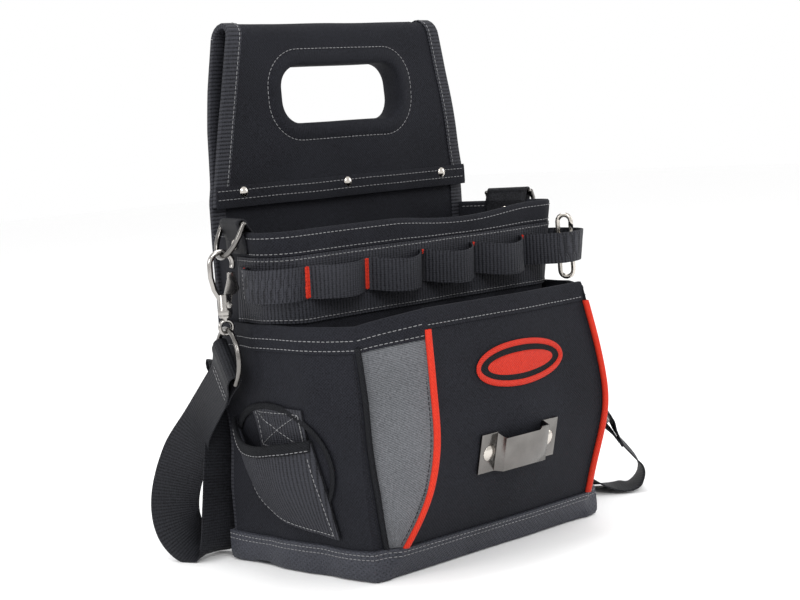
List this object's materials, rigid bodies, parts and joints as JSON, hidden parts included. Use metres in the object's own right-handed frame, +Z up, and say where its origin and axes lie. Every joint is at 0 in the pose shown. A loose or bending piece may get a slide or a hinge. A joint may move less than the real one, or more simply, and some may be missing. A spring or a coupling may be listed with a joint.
{
  "type": "tool pouch",
  "caption": "Electrician's tool pouch with a cut-out carrying handle, tool loops, a bulging front pocket, a side sleeve, a tape clip and a shoulder strap on trigger snaps.",
  "frame": {"origin": "middle of the base's underside, on the surface the pouch stands on", "axes": "+Z up, -Y towards the front pocket, +X to the right of someone who looks at the front"},
  "size_m": [0.4119, 0.2665, 0.4169],
  "materials": {
    "black_canvas": "coarse woven polyester",
    "black_tape": "twill tape",
    "grey_twill": "twill",
    "orange_piping": "woven cord",
    "bar_tack_thread": "dense thread",
    "boot_vinyl": "coated diamond weave",
    "board": "matt",
    "black_webbing": "ribbed webbing",
    "gunmetal": "dark nickel plate",
    "nickel": "polished nickel plate",
    "patch_thread": "satin embroidery"
  },
  "bodies": {
    "bag": {"back_panel": "black_canvas", "bar_tacks": "bar_tack_thread", "base_board": "board", "base_boot": "boot_vinyl", "belt_tunnel": "black_webbing", "emblem_patch": "patch_thread", "front_pocket_hem": "black_tape", "front_pocket_panel": "black_canvas", "hand_slot_lining": "black_canvas", "handle_binding_left": "black_tape", "handle_binding_right": "black_tape", "handle_front_ply": "black_canvas", "handle_hem": "black_tape", "handle_rivets": "nickel", "inner_divider": "black_canvas", "left_corner_seam": "black_tape", "left_gusset": "grey_twill", "left_piping": "orange_piping", "left_ring_tab": "black_webbing", "left_side_hem": "black_tape", "left_side_pocket": "black_canvas", "loop_backing_band": "black_webbing", "panel_binding_left": "black_tape", "panel_binding_right": "black_tape", "right_corner_seam": "black_tape", "right_gusset": "grey_twill", "right_piping": "orange_piping", "right_ring_tab": "black_webbing", "right_side_hem": "black_tape", "right_side_pocket": "black_canvas", "ring_tab_rivets": "nickel", "shoulder_strap": "black_webbing", "side_ring_tab": "black_webbing", "side_sleeve": "black_canvas", "side_sleeve_binding": "black_tape", "side_webbing_patch": "black_webbing", "tape_clip": "gunmetal", "tape_clip_rivets": "nickel", "tool_loop_webbing": "black_webbing", "upper_rim_hem": "black_tape", "upper_wall_front": "black_canvas", "upper_wall_left": "black_canvas", "upper_wall_right": "black_canvas"},
    "left_ring": {"left_d_ring": "gunmetal", "left_snap_body": "nickel", "left_gate_pin": "nickel"},
    "left_gate": {"left_snap_gate": "nickel"},
    "left_swivel": {"left_swivel": "nickel", "left_strap_ring": "gunmetal"},
    "right_ring": {"right_d_ring": "gunmetal"},
    "side_ring": {"side_d_ring": "gunmetal", "right_snap_body": "nickel", "right_gate_pin": "nickel"},
    "right_gate": {"right_snap_gate": "nickel"},
    "right_swivel": {"right_swivel": "nickel", "right_strap_ring": "gunmetal"},
    "key_clip": {"key_clip_body": "nickel"},
    "key_clip_gate": {"key_clip_gate": "nickel"}
  },
  "joints": [
    {"name": "left_ring_swing", "type": "hinge", "parent": "bag", "child": "left_ring", "pos_m": [-0.14874, 0.02684, 0.2655], "axis": [0.2793, 0.9602, 0], "range_deg": [0, 30], "deforming": ["shoulder_strap"]},
    {"name": "left_gate_open", "type": "hinge", "parent": "left_ring", "child": "left_gate", "pos_m": [-0.15866, 0.02972, 0.20623], "axis": [-0.2793, -0.9602, 0], "range_deg": [0, 15], "stiffness_Nm_per_rad": 0.02, "springref_deg": -20.05},
    {"name": "left_swivel_turn", "type": "hinge", "parent": "left_ring", "child": "left_swivel", "pos_m": [-0.1601, 0.03014, 0.20073], "axis": [0, 0, 1], "range_deg": [-6, 6]},
    {"name": "right_ring_swing", "type": "hinge", "parent": "bag", "child": "right_ring", "pos_m": [0.14874, 0.02684, 0.2655], "axis": [0.2793, -0.9602, 0], "range_deg": [0, 150]},
    {"name": "side_ring_swing", "type": "hinge", "parent": "bag", "child": "side_ring", "pos_m": [0.153, 0.002, 0.16], "axis": [0, -1, 0], "range_deg": [-12, 10], "deforming": ["shoulder_strap"]},
    {"name": "right_gate_open", "type": "hinge", "parent": "side_ring", "child": "right_gate", "pos_m": [0.17921, -0.01019, 0.10527], "axis": [0.0983, 0.9763, -0.1928], "range_deg": [0, 15], "stiffness_Nm_per_rad": 0.02, "springref_deg": -20.05},
    {"name": "right_swivel_turn", "type": "hinge", "parent": "side_ring", "child": "right_swivel", "pos_m": [0.18298, -0.01138, 0.10116], "axis": [-0.4432, 0.2164, 0.8699], "range_deg": [-6, 6]},
    {"name": "key_clip_lift", "type": "slide", "parent": "bag", "child": "key_clip", "axis": [0, 0, 1], "range_m": [0, 0.06]},
    {"name": "key_clip_gate_open", "type": "hinge", "parent": "key_clip", "child": "key_clip_gate", "pos_m": [0.15045, -0.04044, 0.2138], "axis": [-0.8526, -0.5225, 0], "range_deg": [0, 14], "stiffness_Nm_per_rad": 0.004, "springref_deg": -20.05}
  ]
}
